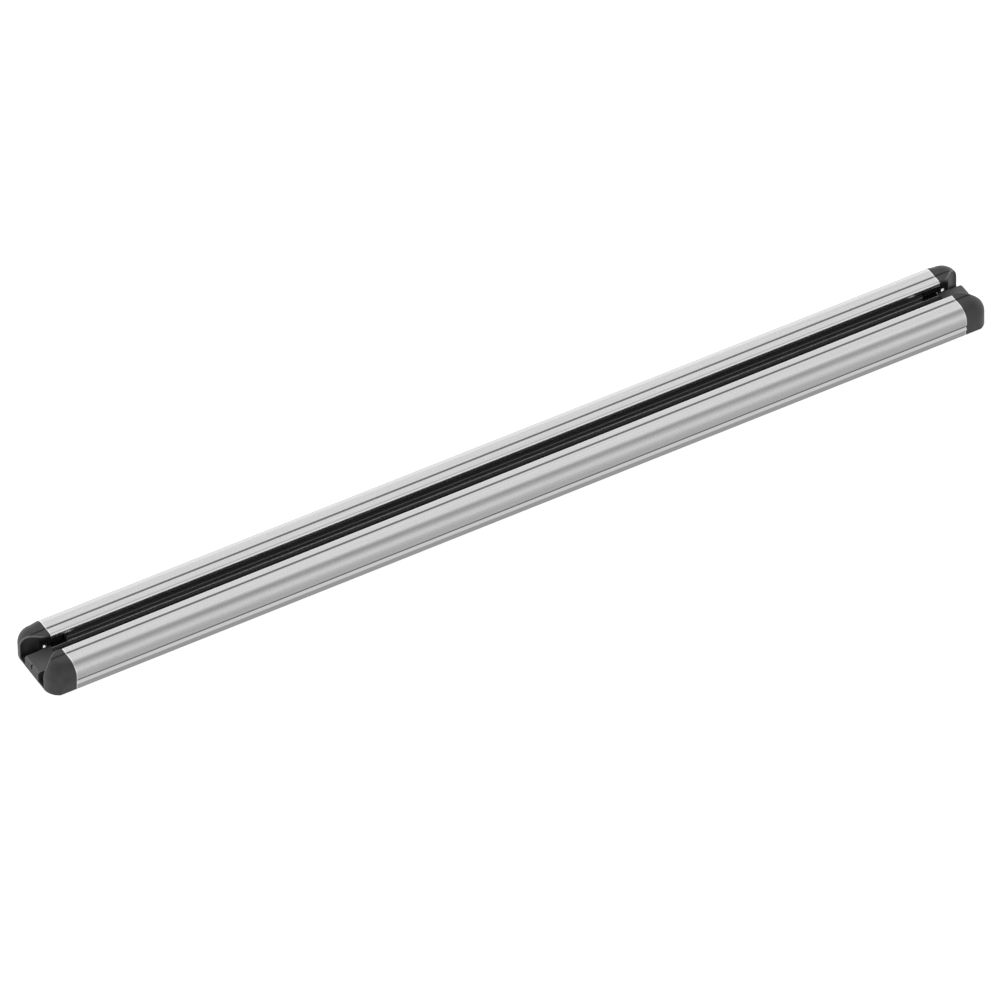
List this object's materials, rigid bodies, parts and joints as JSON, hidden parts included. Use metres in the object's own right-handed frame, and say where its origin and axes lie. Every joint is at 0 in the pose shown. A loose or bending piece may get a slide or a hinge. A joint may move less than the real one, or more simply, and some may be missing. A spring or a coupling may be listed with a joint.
{
  "type": "magnetic knife rack",
  "caption": "Long wall-mounted magnetic knife rack: aluminium rail with two raised bars, sunk black channel between them and black moulded end caps.",
  "frame": {"origin": "middle of the back face, which lies on the wall or the table", "axes": "+X along the rack to the right-hand end, +Y across it towards the upper bar as mounted, +Z out from the wall"},
  "size_m": [0.6, 0.0476, 0.0176],
  "materials": {
    "aluminium": "satin brushed and clear anodised, fine streaks along the length",
    "strip_plastic": "black extruded plastic, satin",
    "cap_plastic": "black injection-moulded plastic with a fine texture",
    "tray_plastic": "black extruded plastic, satin",
    "yoke_steel": "zinc-plated cold-rolled strip",
    "ferrite": "sintered ferrite, dark grey and matte"
  },
  "bodies": {
    "root": {"rail_body": "aluminium", "channel_strip": "strip_plastic", "end_cap_left": "cap_plastic", "end_cap_right": "cap_plastic", "magnet_tray_upper": "tray_plastic", "magnet_tray_lower": "tray_plastic", "yoke_strip_upper": "yoke_steel", "yoke_strip_lower": "yoke_steel", "magnet_upper_1": "ferrite", "magnet_upper_2": "ferrite", "magnet_upper_3": "ferrite", "magnet_upper_4": "ferrite", "magnet_upper_5": "ferrite", "magnet_upper_6": "ferrite", "magnet_upper_7": "ferrite", "magnet_upper_8": "ferrite", "magnet_upper_9": "ferrite", "magnet_upper_10": "ferrite", "magnet_upper_11": "ferrite", "magnet_lower_1": "ferrite", "magnet_lower_2": "ferrite", "magnet_lower_3": "ferrite", "magnet_lower_4": "ferrite", "magnet_lower_5": "ferrite", "magnet_lower_6": "ferrite", "magnet_lower_7": "ferrite", "magnet_lower_8": "ferrite", "magnet_lower_9": "ferrite", "magnet_lower_10": "ferrite", "magnet_lower_11": "ferrite"}
  },
  "joints": []
}
